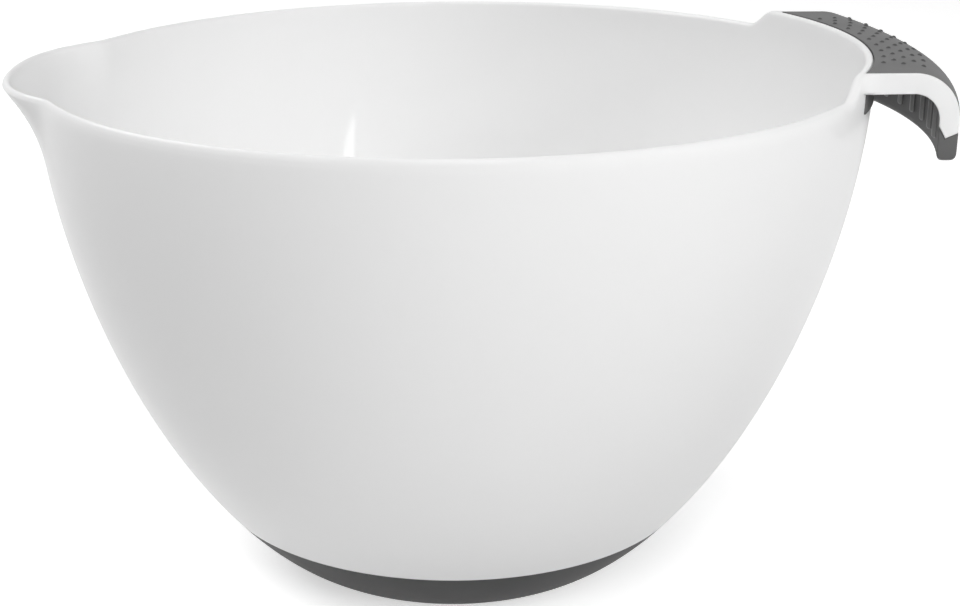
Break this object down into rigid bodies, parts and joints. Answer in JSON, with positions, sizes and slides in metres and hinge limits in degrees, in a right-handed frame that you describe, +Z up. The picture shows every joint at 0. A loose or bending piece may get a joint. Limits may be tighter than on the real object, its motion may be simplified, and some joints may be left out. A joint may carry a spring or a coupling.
{
  "type": "batter bowl",
  "caption": "Deep pouring bowl with a flared spout, a raised hooked rim handle with a dotted soft grip, and a soft non-slip base.",
  "frame": {"origin": "on the table under the bowl's axis, at the middle of the base's flat face", "axes": "+Z up along the bowl's axis, +X toward the handle, -X toward the pouring spout"},
  "size_m": [0.2657, 0.2348, 0.1552],
  "materials": {
    "bowl_plastic": "white, satin gloss",
    "grip_rubber": "dark grey, matte, soft to the touch",
    "base_rubber": "dark grey, matte, soft to the touch"
  },
  "bodies": {
    "root": {"bowl": "bowl_plastic", "grip": "grip_rubber", "base": "base_rubber"}
  },
  "joints": []
}
